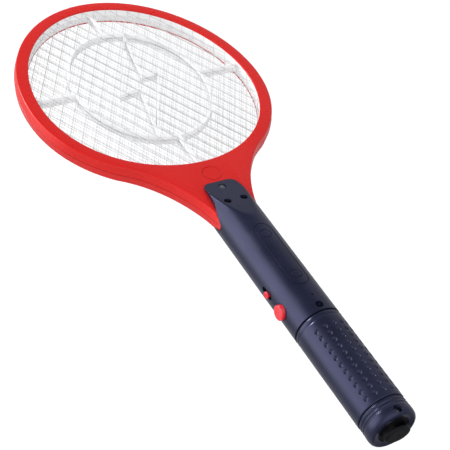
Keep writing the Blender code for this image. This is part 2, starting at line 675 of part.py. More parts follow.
def battery_contacts():
    top = BATTERY_LOW + BATTERY_LENGTH
    battery("battery_1", BATTERY_X, top, BATTERY_LOW, 1)
    battery("battery_2", -BATTERY_X, top, BATTERY_LOW, -1)
    face = CARRIER_LOW - 0.3
    cylinder("battery_contact_carrier", 14.7, (0, CARRIER_LOW, 0), (0, CARRIER_LOW + 2.0, 0), BLACK, sides=32)
    for name, x in (("contact_plate_positive", BATTERY_X), ("contact_plate_negative", -BATTERY_X)):
        tab = box(name, (x - 4.5, face - 0.5, -4.5), (x + 4.5, face, 4.5), NICKEL)
        if x > 0:
            fuse(tab, cylinder(name + "_stub", 2.2, (x, face - 0.2, 0), (x, top + 0.3, 0), sides=16))
    coil_spring("contact_spring_upper", -BATTERY_X, face - 1.1, top + 0.65, 4.2, NICKEL)
    low = CAP_INSIDE + 0.4
    bridge = box("battery_bridge_plate", (-12.0, low, -4.5), (12.0, low + 0.5, 4.5), NICKEL)
    end = BATTERY_LOW - 0.3
    fuse(bridge, cylinder("bridge_stub", 2.2, (-BATTERY_X, low + 0.3, 0), (-BATTERY_X, end, 0), sides=16))
    coil_spring("contact_spring_lower", BATTERY_X, low + 1.2, BATTERY_LOW - 0.65, 4.2, NICKEL)


def strap_bar():
    """Oval block in the recess of the cap, pierced for a wrist strap; its flat top is the butt end."""
    width = STRAP_BAR_WIDTH
    root = CAP_RECESS_FLOOR + 0.6
    profile = ((0.0, root), (width, root), (width, 11.5), (width - 0.5, 10.6),
               (width - 1.4, BUTT_Y), (0.0, BUTT_Y))
    bar = turned("strap_bar", profile, (0, 0, 0), (0, 1, 0), sides=28)
    bar.scale = (1.0, STRAP_BAR_FLATTENING, 1.0)
    return cut(bar, box("strap_opening", (-5.5, 12.2, -9.0), (5.5, CAP_RECESS_FLOOR - 0.1, 9.0)))


def end_cap():
    """Cap with two ridges and a rounded end whose recess holds the strap bar."""
    profile = ((0.0, 28.7), (16.2, 28.7), (16.7, 27.2), (16.7, 26.3), (16.2, 25.9),
               (16.2, 24.8), (16.7, 24.4), (17.0, 22.6), (17.0, 18.2), (16.7, 16.4),
               (16.0, 15.2), (14.8, 14.5), (11.6, 14.9), (11.1, 15.3), (11.0, CAP_RECESS_FLOOR),
               (0.0, CAP_RECESS_FLOOR))
    cap = turned("end_cap", profile, (0, 0, 0), (0, 1, 0), NAVY, sides=36)
    cavity = cylinder("cap_cavity", GRIP_SPIGOT + 0.3, (0, CAP_INSIDE, 0), (0, 32.0, 0), sides=32)
    y, seat = CAP_SCREW_Y, CAP_SCREW_SEAT
    cut(cavity, cylinder("cap_boss", BOSS_RADIUS, (0, y, 11.8), (0, y, 20.0), sides=16))
    cut(cap, cavity)
    cut(cap, cylinder("cap_screw_head_room", SCREW_HEAD + 0.5, (0, y, seat), (0, y, 20.0), sides=16))
    cut(cap, cylinder("cap_screw_hole", SCREW_HOLE, (0, y, 8.0), (0, y, seat + 0.6), sides=12))
    fuse(cap, strap_bar())
    shank = ((SCREW_SHANK, 0.0), (SCREW_SHANK, -4.0), (0.0, -4.6))
    turned("end_cap_screw", SCREW_HEAD_PROFILE + shank, (0, y, seat), (0, 0, 1), STEEL, sides=10)


def move_origin_to_butt_end():
    for item in list(PARTS.objects) + list(CUTTERS.objects):
        item.location.y -= BUTT_Y * MM


def build():
    head_ring("head_front_ring", 1)
    head_ring("head_back_ring", -1)
    spacer("spacer_front", 1)
    spacer("spacer_back", -1)
    grid("outer_grid_front", OUTER_GRID_Z, OUTER_GRID_HALF, OUTER_WIRE, 0.0, 3.0)
    grid("center_grid", 0.0, CENTRE_GRID_HALF, CENTRE_WIRE, 0.5, -3.0)
    grid("outer_grid_back", -OUTER_GRID_Z, OUTER_GRID_HALF, OUTER_WIRE, 0.25, 3.0)
    handle_shell("handle_front_shell", 1)
    handle_shell("handle_back_shell", -1)
    for number, spot in enumerate(NECK_SCREWS):
        long_screw("neck_screw_%d" % (number + 1), spot)
    long_screw("shell_screw", SHELL_SCREW)
    controls()
    electronics()
    leads()
    grip_barrel()
    battery_contacts()
    end_cap()
    move_origin_to_butt_end()


build()
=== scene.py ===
import math

import bmesh
import bpy
from mathutils import Matrix, Vector


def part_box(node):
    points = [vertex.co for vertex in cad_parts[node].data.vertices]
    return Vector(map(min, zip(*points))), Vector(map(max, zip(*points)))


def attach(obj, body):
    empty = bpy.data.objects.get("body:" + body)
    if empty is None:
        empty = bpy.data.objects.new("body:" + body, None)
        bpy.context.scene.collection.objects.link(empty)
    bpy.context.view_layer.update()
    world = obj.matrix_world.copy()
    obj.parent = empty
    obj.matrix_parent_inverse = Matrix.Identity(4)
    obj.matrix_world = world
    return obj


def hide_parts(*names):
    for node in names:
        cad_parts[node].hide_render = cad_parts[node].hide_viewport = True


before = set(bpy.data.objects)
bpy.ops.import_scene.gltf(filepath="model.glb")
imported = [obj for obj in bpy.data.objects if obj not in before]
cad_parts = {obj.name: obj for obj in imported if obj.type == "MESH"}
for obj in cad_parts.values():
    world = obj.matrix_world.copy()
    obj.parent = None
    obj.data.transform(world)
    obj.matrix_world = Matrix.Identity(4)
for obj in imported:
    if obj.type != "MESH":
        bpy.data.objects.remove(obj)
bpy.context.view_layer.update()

# Visual model of the electric fly swatter. Sizes are in millimetres and become metres when a mesh
# is made. +Y runs from the butt to the tip of the head, +Z is the front face, -X the switch side.
MM = 0.001


def box_mm(node):
    low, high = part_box(node)
    return low / MM, high / MM


# ---------------------------------------------------------------- sizes taken from the frame

RING_HIGH = box_mm("head_front_ring")[1]
SHELL_LOW, SHELL_HIGH = box_mm("handle_front_shell")
BARREL_LOW, BARREL_HIGH = box_mm("grip_barrel")
CAP_LOW, CAP_HIGH = box_mm("end_cap")
BUTTON_LOW, BUTTON_HIGH = box_mm("push_button")
KNOB_LOW, KNOB_HIGH = box_mm("slide_switch_knob")
SPACER_BACK_LOW, SPACER_BACK_HIGH = box_mm("spacer_back")
SPACER_LOW, SPACER_HIGH = box_mm("spacer_front")

HALF_THICKNESS = RING_HIGH.z
HANDLE_RADIUS = SHELL_HIGH.z
HANDLE_LOW = SHELL_LOW.y
TONGUE_TIP = SHELL_HIGH.y
OPENING_X = (87.25, -2.58, 0.98)
OPENING_Y = (96.94, 0.06, 0.86)
RIM_WIDTH = 9.27
RIM_DRAFT = 1.0
HEAD_Y = RING_HIGH.y - RIM_DRAFT - RIM_WIDTH - OPENING_Y[0] - OPENING_Y[1] - OPENING_Y[2]
FACE_THICKNESS = 1.2
RIM_WALL = 1.6
RIM_EDGE_WALL = 0.8
PARTING_GAP = 0.15
NECK_START_ANGLE = math.radians(144.5)
NECK_CURVE = ((56.0, -87.0), (24.5, -109.0), (13.8, -155.0), (15.8, -158.4))
NECK_END = HEAD_Y + NECK_CURVE[-1][1] - 1.3
PAD_SLOPE = 0.2112
PAD_AT_TIP = 7.2
NECK_SURFACE = HALF_THICKNESS + 0.15
SKIRT_START = (NECK_END, 2.15)
SKIRT_END = (TONGUE_TIP - 27.8, NECK_SURFACE)
SKIRT_GAP = 0.3
SKIRT_INSIDE = 13.2
TONGUE_OUTLINE = ((17.6, HANDLE_LOW - 2.0), (17.6, TONGUE_TIP - 36.0), (17.1, TONGUE_TIP - 34.6),
                  (16.6, TONGUE_TIP - 32.4), (16.0, TONGUE_TIP - 29.0), (15.1, TONGUE_TIP - 25.0),
                  (14.3, TONGUE_TIP - 21.3), (13.7, TONGUE_TIP - 14.0), (13.3, TONGUE_TIP - 7.3),
                  (13.0, TONGUE_TIP - 4.6), (12.4, TONGUE_TIP - 3.0), (11.4, TONGUE_TIP - 1.6),
                  (10.0, TONGUE_TIP - 0.7), (8.4, TONGUE_TIP - 0.2), (6.8, TONGUE_TIP))
BUTTON_Y = (BUTTON_LOW.y + BUTTON_HIGH.y) / 2
BUTTON_FLANGE = 1.2
BUTTON_RADIUS = (BUTTON_HIGH.y - BUTTON_LOW.y) / 2 - BUTTON_FLANGE
KNOB_Y = (KNOB_LOW.y + KNOB_HIGH.y) / 2
SLOT_LOW, SLOT_HIGH = KNOB_Y - 4.5, KNOB_Y + 7.0
SLOT_HALF_WIDTH = 2.0
LED_Y = sum(corner.y for corner in box_mm("indicator_led")) / 2
GRIP_LOW = CAP_HIGH.y + 0.3
GRIP_HIGH = HANDLE_LOW - 0.3
DIMPLE_PITCH = 5.75
DIMPLE_COUNT = 11
DIMPLE_RADIUS = 1.85
DIMPLE_DEPTH = 0.8
DIMPLE_STEEPNESS = 4.0
DIMPLE_ROWS = (-43.0, -21.5, 0.0, 21.5, 43.0)
SHELL_WALL = 1.8
NECK_BOSS_RADIUS = 3.9
SHELL_BOSS_RADIUS = 4.1
BOSS_HOLE_RADIUS = 4.6
PAST_THE_SIDE = 25.0
GRID_ANGLE = math.radians(60.0)
GRID_PITCH = 9.0
OUTER_WIRE_RADIUS = 0.2
MIDDLE_WIRE_RADIUS = 0.14
SHORTEST_WIRE = 8.0
GRID_RIM_OUTSIDE = 4.5
GRID_RIM_INSIDE = 1.5
WIRE_END_OFFSET = 3.0


# ---------------------------------------------------------------- materials

WHITE_TINT = (1.0, 1.0, 1.0)
BLUE_TINT = (0.55, 0.56, 1.0)
WARM_TINT = (1.0, 0.6, 0.56)
# Dull specular tint that darkens reflections in the cap's recess, part of its painted shade.
RECESS_SHADE_TINT = (0.25, 0.25, 0.27)


def shader_material(name, roughness, metallic=0.0):
    material = bpy.data.materials.new(name)
    material.use_nodes = True
    nodes = material.node_tree.nodes
    shader = nodes["Principled BSDF"]
    shader.inputs["Roughness"].default_value = roughness
    shader.inputs["Metallic"].default_value = metallic
    return material, nodes, material.node_tree.links, shader


def noise(nodes, links, scale, detail=2.0, stretch=(1.0, 1.0, 1.0)):
    where = nodes.new("ShaderNodeTexCoord")
    mapping = nodes.new("ShaderNodeMapping")
    mapping.inputs["Scale"].default_value = stretch
    texture = nodes.new("ShaderNodeTexNoise")
    texture.inputs["Scale"].default_value = scale
    texture.inputs["Detail"].default_value = detail
    links.new(where.outputs["Object"], mapping.inputs["Vector"])
    links.new(mapping.outputs["Vector"], texture.inputs["Vector"])
    return texture.outputs["Fac"]


def ramp(nodes, links, factor, low, high, start=0.35, end=0.65):
    blend = nodes.new("ShaderNodeValToRGB")
    blend.color_ramp.elements[0].position = start
    blend.color_ramp.elements[1].position = end
    blend.color_ramp.elements[0].color = (*low, 1.0)
    blend.color_ramp.elements[1].color = (*high, 1.0)
    links.new(factor, blend.inputs["Fac"])
    return blend.outputs["Color"]


def spread(nodes, links, factor, low, high):
    rescale = nodes.new("ShaderNodeMapRange")
    rescale.inputs["From Min"].default_value = 0.3
    rescale.inputs["From Max"].default_value = 0.7
    rescale.inputs["To Min"].default_value = low
    rescale.inputs["To Max"].default_value = high
    links.new(factor, rescale.inputs["Value"])
    return rescale.outputs["Result"]


def relief(nodes, links, shader, height, distance, strength=0.5, edge=0.25):
    """Fine surface grain over softly rounded edges."""
    rounded = nodes.new("ShaderNodeBevel")
    rounded.samples = 6
    rounded.inputs["Radius"].default_value = edge * MM
    bump = nodes.new("ShaderNodeBump")
    bump.inputs["Strength"].default_value = strength
    bump.inputs["Distance"].default_value = distance * MM
    links.new(height, bump.inputs["Height"])
    links.new(rounded.outputs["Normal"], bump.inputs["Normal"])
    links.new(bump.outputs["Normal"], shader.inputs["Normal"])


def moulded_plastic(name, dark, light, roughness, grain=900.0, depth=0.02, coat=0.0, tint=WHITE_TINT):
    """Injection-moulded plastic: faint tone drift, fine grain and uneven gloss."""
    material, nodes, links, shader = shader_material(name, roughness)
    drift = noise(nodes, links, 28.0, 3.0)
    links.new(ramp(nodes, links, drift, dark, light), shader.inputs["Base Color"])
    links.new(spread(nodes, links, noise(nodes, links, 60.0), roughness - 0.04, roughness + 0.05),
              shader.inputs["Roughness"])
    relief(nodes, links, shader, noise(nodes, links, grain, 3.0), depth)
    shader.inputs["Coat Weight"].default_value = coat
    shader.inputs["Coat Roughness"].default_value = 0.12
    shader.inputs["Specular Tint"].default_value = (*tint, 1.0)
    return material


def brushed_metal(name, dark, light, roughness, stretch=(1.0, 1.0, 1.0), grain=1400.0):
    material, nodes, links, shader = shader_material(name, roughness, 1.0)
    streaks = noise(nodes, links, grain, 3.0, stretch)
    links.new(ramp(nodes, links, streaks, dark, light), shader.inputs["Base Color"])
    links.new(spread(nodes, links, streaks, roughness - 0.06, roughness + 0.08),
              shader.inputs["Roughness"])
    relief(nodes, links, shader, streaks, 0.01, 0.4, 0.12)
    return material


RED = moulded_plastic("red_moulded", (0.62, 0.0135, 0.0115), (0.645, 0.0155, 0.0135), 0.27,
                      tint=WARM_TINT)
NAVY = moulded_plastic("navy_moulded", (0.010, 0.012, 0.026), (0.015, 0.017, 0.036), 0.26,
                       grain=1200.0, depth=0.012, tint=BLUE_TINT)
WHITE = moulded_plastic("white_moulded", (0.93, 0.93, 0.93), (0.97, 0.97, 0.97), 0.35)
BUTTON_RED = moulded_plastic("button_red", (0.72, 0.02, 0.03), (0.8, 0.03, 0.045), 0.25, coat=0.4)
BLACK = moulded_plastic("black_moulded", (0.012, 0.012, 0.013), (0.02, 0.02, 0.022), 0.45)
# Painted shade: a near-black, dull material standing in for the shadow inside the end cap's recess and on
# its strap bar; the cap itself is one navy moulding.
RECESS_PAINTED_SHADE = moulded_plastic("recess_painted_shade", (0.004, 0.004, 0.005), (0.008, 0.008, 0.009), 0.5,
                               tint=RECESS_SHADE_TINT)
LENS = moulded_plastic("led_lens", (0.6, 0.05, 0.03), (0.75, 0.08, 0.05), 0.1, depth=0.002, coat=1.0)
GRID_WIRE = brushed_metal("grid_wire", (0.68, 0.675, 0.67), (0.84, 0.835, 0.83), 0.46)
SCREW_STEEL = brushed_metal("screw_steel", (0.3, 0.3, 0.31), (0.5, 0.5, 0.51), 0.3)
NICKEL = brushed_metal("nickel", (0.62, 0.6, 0.55), (0.78, 0.76, 0.7), 0.22)
COPPER = brushed_metal("copper_winding", (0.5, 0.18, 0.06), (0.75, 0.36, 0.16), 0.32,
                       (1.0, 12.0, 1.0), 900.0)
BOARD = moulded_plastic("board_green", (0.012, 0.12, 0.05), (0.02, 0.2, 0.08), 0.4, 500.0, 0.03, 0.3)
FERRITE = moulded_plastic("ferrite", (0.03, 0.03, 0.032), (0.06, 0.06, 0.062), 0.7, 700.0, 0.06)
FILM = moulded_plastic("film_dip", (0.28, 0.04, 0.015), (0.36, 0.07, 0.03), 0.3, 300.0, 0.05, 0.4)
TAN = moulded_plastic("resistor_lacquer", (0.5, 0.34, 0.2), (0.62, 0.46, 0.3), 0.45)
LEAD_RED = moulded_plastic("lead_red", (0.42, 0.015, 0.015), (0.55, 0.025, 0.02), 0.45)
LEAD_BLACK = moulded_plastic("lead_black", (0.012, 0.012, 0.012), (0.025, 0.025, 0.025), 0.45)


def battery_sleeve():
    """Printed sleeve of a cell: a plain dark body with a brass-coloured band at one end."""
    material, nodes, links, shader = shader_material("battery_sleeve", 0.3)
    where = nodes.new("ShaderNodeTexCoord")
    split = nodes.new("ShaderNodeSeparateXYZ")
    step = nodes.new("ShaderNodeMath")
    step.operation = "GREATER_THAN"
    step.inputs[1].default_value = (box_mm("battery_1")[1].y - 15.0) * MM
    links.new(where.outputs["Object"], split.inputs["Vector"])
    links.new(split.outputs["Y"], step.inputs[0])
    mottle = ramp(nodes, links, noise(nodes, links, 40.0), (0.02, 0.05, 0.03), (0.03, 0.07, 0.04))
    mix = nodes.new("ShaderNodeMix")
    mix.data_type = "RGBA"
    mix.inputs["B"].default_value = (0.62, 0.4, 0.16, 1.0)
    links.new(step.outputs["Value"], mix.inputs["Factor"])
    links.new(mottle, mix.inputs["A"])
    links.new(mix.outputs["Result"], shader.inputs["Base Color"])
    shader.inputs["Coat Weight"].default_value = 0.5
    relief(nodes, links, shader, noise(nodes, links, 700.0), 0.01)
    return material


BATTERY = battery_sleeve()


# ---------------------------------------------------------------- mesh tools

def new_piece(name, mesh, material=None, smooth=32.0):
    """A visible piece, or a hidden tool when it has no material."""
    item = bpy.data.objects.new(name, mesh)
    bpy.context.scene.collection.objects.link(item)
    if material is not None:
        mesh.materials.clear()
        mesh.materials.append(material)
    mesh.shade_smooth()
    mesh.set_sharp_from_angle(angle=math.radians(smooth))
    return item


def to_piece(name, work, material=None, smooth=32.0):
    bmesh.ops.recalc_face_normals(work, faces=work.faces)
    mesh = bpy.data.meshes.new(name)
    work.to_mesh(mesh)
    work.free()
    return new_piece(name, mesh, material, smooth)


def add_box(work, low, high):
    size = [(b - a) * MM for a, b in zip(low, high)]
    centre = [(a + b) / 2 * MM for a, b in zip(low, high)]
    bmesh.ops.create_cube(work, size=1.0,
                          matrix=Matrix.Translation(centre) @ Matrix.Diagonal((*size, 1.0)))


def box_tool(name, low, high):
    work = bmesh.new()
    add_box(work, low, high)
    return to_piece(name, work)


def add_cylinder(work, radius, start, end, sides):
    first = Vector(start) * MM
    last = Vector(end) * MM
    axis = last - first
    turn = axis.to_track_quat("Z", "Y").to_matrix().to_4x4()
    half_step = Matrix.Rotation(math.pi / sides, 4, "Z")
    bmesh.ops.create_cone(work, cap_ends=True, segments=sides, radius1=radius * MM,
                          radius2=radius * MM, depth=axis.length,
                          matrix=Matrix.Translation((first + last) / 2) @ turn @ half_step)


def cylinder_tool(name, radius, start, end, sides=48):
    work = bmesh.new()
    add_cylinder(work, radius, start, end, sides)
    return to_piece(name, work)


def turned(name, profile, origin, axis, material=None, sides=96):
    """Solid of revolution; the profile is (radius, height) and starts and ends on the axis."""
    work = bmesh.new()
    rings = []
    for radius, height in profile:
        if radius < 1e-6:
            rings.append([work.verts.new((0.0, 0.0, height * MM))])
        else:
            rings.append([work.verts.new((radius * MM * math.cos(2 * math.pi * i / sides),
                                          radius * MM * math.sin(2 * math.pi * i / sides),
                                          height * MM)) for i in range(sides)])
    for upper, lower in zip(rings, rings[1:]):
        for i in range(sides):
            j = (i + 1) % sides
            corners = [upper[i % len(upper)], upper[j % len(upper)],
                       lower[j % len(lower)], lower[i % len(lower)]]
            corners = list(dict.fromkeys(corners))
            if len(corners) > 2:
                work.faces.new(corners)
    turn = Vector(axis).to_track_quat("Z", "Y").to_matrix().to_4x4()
    work.transform(Matrix.Translation(Vector(origin) * MM) @ turn)
    return to_piece(name, work, material)


def rounded(profile, radius=0.5, steps=4):
    """Round every inner corner of an open profile with an arc-like curve."""
    result = [profile[0]]
    for before, here, after in zip(profile, profile[1:], profile[2:]):
        a, b, c = Vector(before), Vector(here), Vector(after)
        reach = min(radius, (a - b).length * 0.45, (c - b).length * 0.45)
        start = b + (a - b).normalized() * reach
        end = b + (c - b).normalized() * reach
        for i in range(steps + 1):
            t = i / steps
            point = start * (1 - t) ** 2 + b * 2 * t * (1 - t) + end * t * t
            result.append((point.x, point.y))
    result.append(profile[-1])
    return result


def prism(name, loops, low, high, lengthwise=False):
    """Outline with holes, extruded along Z, or along Y when lengthwise (outline in X and Z)."""
    work = bmesh.new()
    edges = []
    for loop in loops:
        points = [work.verts.new((x * MM, y * MM, low * MM)) for x, y in loop]
        for i, point in enumerate(points):
            edges.append(work.edges.new((point, points[(i + 1) % len(points)])))
    bmesh.ops.triangle_fill(work, edges=edges, use_beauty=True, use_dissolve=False)
    grown = bmesh.ops.extrude_face_region(work, geom=work.faces[:])
    moved = [item for item in grown["geom"] if isinstance(item, bmesh.types.BMVert)]
    bmesh.ops.translate(work, verts=moved, vec=(0.0, 0.0, (high - low) * MM))
    if lengthwise:
        work.transform(Matrix(((1, 0, 0, 0), (0, 0, 1, 0), (0, 1, 0, 0), (0, 0, 0, 1))))
    return to_piece(name, work)


def loft(name, stations):
    """Closed band through (loop, height) stations; the last station joins the first."""
    work = bmesh.new()
    rings = [[work.verts.new((x * MM, y * MM, height * MM)) for x, y in loop]
             for loop, height in stations]
    count = len(rings[0])
    for number, ring in enumerate(rings):
        following = rings[(number + 1) % len(rings)]
        for i in range(count):
            j = (i + 1) % count
            work.faces.new((ring[i], ring[j], following[j], following[i]))
    return to_piece(name, work)


# Lofts that cross themselves near the neck, so their Booleans also resolve self-intersections.
CROSSING_PIECES = ("front_ring", "back_ring")


def combine(target, operation, *tools):
    """Apply exact Booleans one after another and delete the tools."""
    for tool in tools:
        change = target.modifiers.new(tool.name, "BOOLEAN")
        change.operation = operation
        change.solver = "EXACT"
        change.use_self = target.name in CROSSING_PIECES
        change.object = tool
        bpy.context.view_layer.update()
        solid = target.evaluated_get(bpy.context.evaluated_depsgraph_get())
        mesh = bpy.data.meshes.new_from_object(solid)
        target.modifiers.clear()
        old = target.data
        target.data = mesh
        bpy.data.meshes.remove(old)
        bpy.data.objects.remove(tool, do_unlink=True)
    return target


def cut(target, *tools):
    return combine(target, "DIFFERENCE", *tools)


def fuse(target, *tools):
    return combine(target, "UNION", *tools)


def keep_inside(target, tool):
    return combine(target, "INTERSECT", tool)


def settle(item, material, smooth=32.0):
    """Final shading of a piece made with Booleans."""
    mesh = item.data
    mesh.materials.clear()
    mesh.materials.append(material)
    for face in mesh.polygons:
        face.material_index = 0
    mesh.shade_smooth()
    mesh.set_sharp_from_angle(angle=math.radians(smooth))
    return item


def publish(item, body, slot, *nodes):
    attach(item, body)
    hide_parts(*nodes)
    return item


# ---------------------------------------------------------------- outlines of the head

def opening_point(angle):
    x = sum(size * math.sin((k + 1) * angle) for k, size in enumerate(OPENING_X))
    y = sum(size * math.cos((k + 1) * angle) for k, size in enumerate(OPENING_Y))
    return x, y + HEAD_Y


def offset_loop(loop, distance):
    """Move a closed clockwise loop outwards by a distance, with mitred corners."""
    moved = []
    for i, point in enumerate(loop):
        here = Vector(point)
        before = (here - Vector(loop[i - 1])).normalized()
        after = (Vector(loop[(i + 1) % len(loop)]) - here).normalized()
        normal_before = Vector((-before.y, before.x))
        normal_after = Vector((-after.y, after.x))
        mitre = (normal_before + normal_after) / (1.0 + normal_before.dot(normal_after))
        moved.append(tuple(here + mitre * distance))
    return moved


def opening_loop(steps=160):
    return [opening_point(2.0 * math.pi * i / steps) for i in range(steps)]


def mirrored_loop(right_half):
    return right_half + [(-x, y) for x, y in reversed(right_half[1:-1])]


def bezier(points, t):
    a, b, c, d = [Vector(p) for p in points]
    s = 1.0 - t
    return a * s ** 3 + b * 3 * s * s * t + c * 3 * s * t * t + d * t ** 3


def frame_loops(rim_steps=90, neck_steps=44, end_steps=6):
    """Matched outlines of the opening and of the rim with its neck."""
    tail = neck_steps + end_steps
    angles = [NECK_START_ANGLE * i / rim_steps for i in range(rim_steps + 1)]
    angles += [NECK_START_ANGLE + (math.pi - NECK_START_ANGLE) * i / tail for i in range(1, tail + 1)]
    inner = mirrored_loop([opening_point(angle) for angle in angles])
    rim = offset_loop(inner, RIM_WIDTH)[:rim_steps + 1]
    start = Vector((rim[-1][0], rim[-1][1] - HEAD_Y))
    curve = (start,) + NECK_CURVE[1:]
    right = list(rim)
    for i in range(1, neck_steps + 1):
        point = bezier(curve, i / neck_steps)
        right.append((point.x, point.y + HEAD_Y))
    half_width = NECK_CURVE[-1][0]
    for i in range(1, end_steps + 1):
        right.append((half_width * (1 - i / end_steps), HEAD_Y + NECK_CURVE[-1][1]))
    return inner, mirrored_loop(right)


def ellipse_loop(radii, centre_y, steps=160):
    return [(radii[0] * math.sin(2 * math.pi * i / steps),
             radii[1] * math.cos(2 * math.pi * i / steps) + centre_y) for i in range(steps)]


# ---------------------------------------------------------------- head

EMBLEM_Y = HEAD_Y - 111.7
EMBLEM_X = 1.0
EMBLEM_RADIUS = 7.0
EMBLEM_HALF_WIDTH = 0.35
EMBLEM_DEPTH = 0.45


def quarter(offset_from, height_from, offset_to, height_to, steps=5):
    """Offsets and heights along a quarter turn, leaving upright and arriving level."""
    result = []
    for i in range(steps + 1):
        angle = math.pi / 2 * i / steps
        result.append((offset_from + (offset_to - offset_from) * (1 - math.cos(angle)),
                       height_from + (height_to - height_from) * math.sin(angle)))
    return result


def prism_across(name, outline, low, high):
    """Outline in Y and Z, extruded along X."""
    item = prism(name, [outline], low, high)
    item.data.transform(Matrix(((0, 0, 1, 0), (1, 0, 0, 0), (0, 1, 0, 0), (0, 0, 0, 1))))
    return item


def skirt_wedges(side):
    """Corners of the neck's end that the skirts of the handle shells cover."""
    slope = (SKIRT_END[1] - SKIRT_START[1]) / (SKIRT_END[0] - SKIRT_START[0])
    section = []
    for y in (SKIRT_START[0] - 2.0, SKIRT_END[0] + SKIRT_GAP / slope):
        section.append((y, side * (SKIRT_START[1] + slope * (y - SKIRT_START[0]) - SKIRT_GAP)))
    section += [(y, side * 9.0) for y, _ in reversed(section)]
    return [prism_across("wedge_left", section, -PAST_THE_SIDE, -SKIRT_INSIDE),
            prism_across("wedge_right", section, SKIRT_INSIDE, PAST_THE_SIDE)]


def head_ring(name, side):
    """Red half of the frame: drafted wall with a rolled edge, flat face and rounded inner lip."""
    inner, outer = frame_loops()
    top = HALF_THICKNESS
    under = top - FACE_THICKNESS
    outside = [(RIM_DRAFT - 0.15, PARTING_GAP), (RIM_DRAFT, PARTING_GAP + 0.2)]
    outside += quarter(0.15, top - 0.95, -0.75, top)
    stations = [(offset_loop(outer, d), side * z) for d, z in outside]
    lip = quarter(0.0, top - 0.4, 0.4, top)
    stations += [(offset_loop(inner, d), side * z) for d, z in reversed(lip)]
    stations += [(inner, side * under), (offset_loop(outer, -RIM_WALL), side * under),
                 (offset_loop(outer, -RIM_EDGE_WALL), side * PARTING_GAP)]
    ring = loft(name, stations)
    cut(ring, *skirt_wedges(side))
    if side > 0:
        groove = cylinder_tool("emblem_outer", EMBLEM_RADIUS + EMBLEM_HALF_WIDTH,
                               (EMBLEM_X, EMBLEM_Y, top - EMBLEM_DEPTH), (EMBLEM_X, EMBLEM_Y, top + 1), 64)
        cut(groove, cylinder_tool("emblem_inner", EMBLEM_RADIUS - EMBLEM_HALF_WIDTH,
                                  (EMBLEM_X, EMBLEM_Y, top - 1), (EMBLEM_X, EMBLEM_Y, top + 2), 64))
        cut(ring, groove)
    return settle(ring, RED)


OVAL_CENTRE_Y = HEAD_Y + 2.5
OVAL_RADII = (53.0, 65.0)
BOLT_OUTLINE = ((14.0, 61.0), (5.9, 10.8), (20.2, 11.5), (-13.7, -55.5), (-2.8, -3.5), (-20.0, -6.5))
RIB_HALF = 1.2
BOLT_HALF = 0.8
SPACER_OUTSIDE = 5.0
SPACER_INSIDE = 0.3
WALL_OUTSIDE = 1.3
WALL_INSIDE = 0.25


def spacer(name, low, high):
    """White spacer: wall under the rim, oval, four spokes and the bolt."""
    opening = opening_loop()
    bolt = [(x, y + HEAD_Y) for x, y in BOLT_OUTLINE]
    body = prism(name, [offset_loop(opening, SPACER_OUTSIDE), offset_loop(opening, SPACER_INSIDE)],
                 low, high)
    side = 1 if high > 0 else -1
    wall = sorted((side * 0.1, side * (HALF_THICKNESS - FACE_THICKNESS - 0.05)))
    fuse(body, prism("inner_wall", [offset_loop(opening, WALL_OUTSIDE),
                                    offset_loop(opening, WALL_INSIDE)], *wall))
    oval = ellipse_loop(OVAL_RADII, OVAL_CENTRE_Y)
    fuse(body, prism("oval_rib", [offset_loop(oval, RIB_HALF), offset_loop(oval, -RIB_HALF)],
                     low + 0.02, high - 0.02))
    across = OPENING_X[0] + 2.0
    up = OPENING_Y[0] + 2.0
    spoke_y = OVAL_CENTRE_Y + 1.0
    for number, (first, second) in enumerate((
            ((-across, spoke_y - RIB_HALF), (-OVAL_RADII[0], spoke_y + RIB_HALF)),
            ((OVAL_RADII[0], spoke_y - RIB_HALF), (across, spoke_y + RIB_HALF)),
            ((-RIB_HALF, OVAL_CENTRE_Y + OVAL_RADII[1]), (RIB_HALF, HEAD_Y + up)),
            ((-RIB_HALF, HEAD_Y - up), (RIB_HALF, OVAL_CENTRE_Y - OVAL_RADII[1])))):
        fuse(body, box_tool("spoke_%d" % number, (*first, low + 0.04), (*second, high - 0.04)))
    fuse(body, prism("bolt_rib", [offset_loop(bolt, BOLT_HALF), offset_loop(bolt, -BOLT_HALF)],
                     low + 0.06, high - 0.06))
    return settle(body, WHITE)


def chord(loop, normal, distance):
    """Ends of the straight cut where normal . point = distance crosses a loop about the head centre."""
    ends = []
    for i, point in enumerate(loop):
        here = Vector((point[0], point[1] - HEAD_Y))
        past = Vector((loop[i - 1][0], loop[i - 1][1] - HEAD_Y))
        a = past.dot(normal) - distance
        b = here.dot(normal) - distance
        if (a < 0.0) != (b < 0.0):
            ends.append(past.lerp(here, a / (a - b)))
    return ends


def wire_grid(name, middle, radius, shift, pitch):
    """Round wires in two crossed layers that just touch, in a flat pressed rim."""
    opening = opening_loop()
    rim = prism(name, [offset_loop(opening, GRID_RIM_OUTSIDE), offset_loop(opening, GRID_RIM_INSIDE)],
                middle - radius * 1.2, middle + radius * 1.2)
    anchor = offset_loop(opening, WIRE_END_OFFSET)
    work = bmesh.new()
    work.from_mesh(rim.data)
    count = int(HEAD_Y / pitch)
    for direction in (1, -1):
        normal = Vector((-math.sin(direction * GRID_ANGLE), math.cos(GRID_ANGLE)))
        level = middle + direction * radius * 0.97
        for k in range(-count, count):
            ends = chord(anchor, normal, (k + shift) * pitch)
            if len(ends) != 2 or (ends[0] - ends[1]).length < SHORTEST_WIRE:
                continue
            add_cylinder(work, radius, (ends[0].x, ends[0].y + HEAD_Y, level),
                         (ends[1].x, ends[1].y + HEAD_Y, level), 8)
    bpy.data.objects.remove(rim, do_unlink=True)
    return to_piece(name, work, GRID_WIRE, 50.0)


